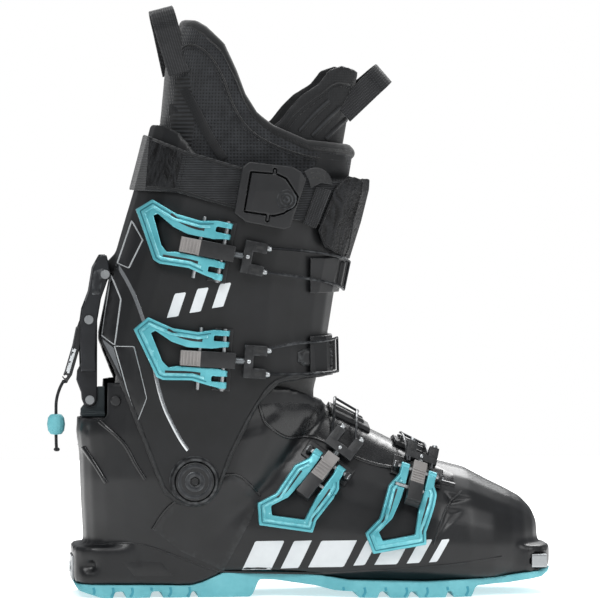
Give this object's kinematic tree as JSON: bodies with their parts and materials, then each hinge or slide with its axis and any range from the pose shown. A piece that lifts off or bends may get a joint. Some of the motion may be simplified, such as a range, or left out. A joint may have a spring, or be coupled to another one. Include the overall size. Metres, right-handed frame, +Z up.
{
  "type": "alpine touring boot",
  "caption": "Right ski touring boot: hard lower shell and tilting cuff with lever buckles, power strap, lace-free liner, lug sole, toe and heel binding fittings, walk lever and pull loops.",
  "frame": {"origin": "on the flat tread of the heel, on the boot's centre line, under the ankle", "axes": "+X towards the toe, +Y towards the inner side of the foot, +Z up along the leg"},
  "size_m": [0.3182, 0.1199, 0.3711],
  "materials": {
    "shell_plastic": "moulded, satin gloss",
    "sole_rubber": "moulded, matte",
    "bright_steel": "brushed and plated",
    "board_plastic": "moulded, matte",
    "insole_foam": "cloth over foam",
    "liner_cloth": "spacer mesh and knit over foam",
    "strip_rubber": "moulded, matte",
    "bracket_metal": "satin paint",
    "trim_plastic": "moulded, fine grain",
    "cuff_plastic": "moulded, matte",
    "webbing": "woven",
    "strap_leather": "embossed, creased",
    "cord_cloth": "braided",
    "teal_plastic": "moulded",
    "teal_lever": "anodised, satin",
    "buckle_black": "powder coated",
    "grey_block": "moulded, satin"
  },
  "bodies": {
    "root": {"lower_shell": "shell_plastic", "outsole": "sole_rubber", "toe_fitting": "bright_steel", "heel_fitting": "bright_steel", "heel_fitting_screw": "bright_steel", "boot_board": "board_plastic", "insole": "insole_foam", "liner_foot": "liner_cloth", "instep_gaiter": "strip_rubber", "spur_bracket": "bracket_metal", "bracket_pin": "bright_steel", "wing_rivet": "trim_plastic", "pivot_bolt_outer": "trim_plastic", "pivot_bolt_inner": "trim_plastic", "lock_bar_pin": "bright_steel", "buckle_3_base": "buckle_black", "buckle_3_pin": "bright_steel", "buckle_3_catch": "buckle_black", "buckle_4_base": "buckle_black", "buckle_4_pin": "bright_steel", "buckle_4_catch": "buckle_black"},
    "cuff": {"cuff_shell": "cuff_plastic", "liner_shaft": "liner_cloth", "liner_tongue": "liner_cloth", "rear_pull_loop": "webbing", "front_pull_loop": "webbing", "strap_band": "webbing", "strap_flap": "strap_leather", "strap_plate": "trim_plastic", "strap_fan": "trim_plastic", "strap_tail": "webbing", "lock_top_pin": "bright_steel", "buckle_1_base": "buckle_black", "buckle_1_pin": "bright_steel", "buckle_1_catch": "buckle_black", "buckle_2_base": "buckle_black", "buckle_2_pin": "bright_steel", "buckle_2_catch": "buckle_black"},
    "cam_lever": {"strap_cam_lever": "trim_plastic"},
    "housing": {"lock_housing": "trim_plastic", "hand_lever_rivet_outer": "bright_steel", "hand_lever_rivet_inner": "bright_steel"},
    "bar": {"lock_bar": "trim_plastic"},
    "hand": {"hand_lever": "trim_plastic"},
    "cord": {"pull_cord": "cord_cloth", "cord_bead": "teal_plastic"},
    "lever_1": {"buckle_1_lever": "teal_lever"},
    "bail_1": {"buckle_1_block": "grey_block", "buckle_1_bail": "bright_steel"},
    "lever_2": {"buckle_2_lever": "teal_lever"},
    "bail_2": {"buckle_2_block": "grey_block", "buckle_2_bail": "bright_steel"},
    "lever_3": {"buckle_3_lever": "teal_lever"},
    "bail_3": {"buckle_3_block": "grey_block", "buckle_3_bail": "bright_steel"},
    "lever_4": {"buckle_4_lever": "teal_lever"},
    "bail_4": {"buckle_4_block": "grey_block", "buckle_4_bail": "bright_steel"}
  },
  "joints": [
    {"name": "cuff_tilt", "type": "hinge", "parent": "root", "child": "cuff", "pos_m": [0.0112, 0, 0.0741], "axis": [0, 1, 0], "range_deg": [-15, 3]},
    {"name": "bar_swing", "type": "hinge", "parent": "root", "child": "bar", "pos_m": [-0.0519, 0, 0.1227], "axis": [0, 1, 0], "range_deg": [-26, 5.6]},
    {"name": "housing_swing", "type": "hinge", "parent": "cuff", "child": "housing", "pos_m": [-0.0424, 0, 0.202], "axis": [0, 1, 0], "range_deg": [-11, 2.6]},
    {"name": "hand_lever_flip", "type": "hinge", "parent": "housing", "child": "hand", "pos_m": [-0.0527, 0, 0.1735], "axis": [0, 1, 0], "range_deg": [0, 70]},
    {"name": "cord_swing", "type": "hinge", "parent": "hand", "child": "cord", "pos_m": [-0.0679, 0, 0.1348], "axis": [0, 1, 0], "range_deg": [-6, 26.5]},
    {"name": "strap_cam_rock", "type": "hinge", "parent": "cuff", "child": "cam_lever", "pos_m": [0.05822, -0.06035, 0.25241], "axis": [0.1524, -0.0069, 0.9883], "range_deg": [0, 6]},
    {"name": "buckle_1_open", "type": "hinge", "parent": "cuff", "child": "lever_1", "pos_m": [0.02831, -0.05794, 0.21711], "axis": [0.1924, -0.0231, 0.981], "range_deg": [0, 110]},
    {"name": "buckle_1_bail_swing", "type": "hinge", "parent": "lever_1", "child": "bail_1", "pos_m": [0.01361, -0.05721, 0.22001], "axis": [0.1924, -0.0231, 0.981], "range_deg": [-115, 0]},
    {"name": "buckle_2_open", "type": "hinge", "parent": "cuff", "child": "lever_2", "pos_m": [0.0288, -0.05653, 0.1499], "axis": [0.0646, -0.0107, 0.9979], "range_deg": [0, 110]},
    {"name": "buckle_2_bail_swing", "type": "hinge", "parent": "lever_2", "child": "bail_2", "pos_m": [0.01384, -0.05615, 0.15088], "axis": [0.0646, -0.0107, 0.9979], "range_deg": [-115, 0]},
    {"name": "buckle_3_open", "type": "hinge", "parent": "root", "child": "lever_3", "pos_m": [0.09557, -0.04413, 0.08491], "axis": [-0.7755, 0.2716, 0.57], "range_deg": [0, 110]},
    {"name": "buckle_3_bail_swing", "type": "hinge", "parent": "lever_3", "child": "bail_3", "pos_m": [0.0862, -0.04709, 0.07357], "axis": [-0.7755, 0.2716, 0.57], "range_deg": [-115, 0]},
    {"name": "buckle_4_open", "type": "hinge", "parent": "root", "child": "lever_4", "pos_m": [0.15228, -0.04095, 0.07868], "axis": [-0.9491, -0.0074, 0.3149], "range_deg": [0, 110]},
    {"name": "buckle_4_bail_swing", "type": "hinge", "parent": "lever_4", "child": "bail_4", "pos_m": [0.14891, -0.05123, 0.06828], "axis": [-0.9491, -0.0074, 0.3149], "range_deg": [-115, 0]}
  ],
  "couplings": [
    {"joint": "bar_swing", "follows": "cuff_tilt", "ratio": 1.7},
    {"joint": "housing_swing", "follows": "cuff_tilt", "ratio": 0.7},
    {"joint": "cord_swing", "follows": "cuff_tilt", "ratio": -1.7},
    {"joint": "buckle_1_bail_swing", "follows": "buckle_1_open", "ratio": -0.95},
    {"joint": "buckle_2_bail_swing", "follows": "buckle_2_open", "ratio": -0.95},
    {"joint": "buckle_3_bail_swing", "follows": "buckle_3_open", "ratio": -0.95},
    {"joint": "buckle_4_bail_swing", "follows": "buckle_4_open", "ratio": -0.95}
  ]
}
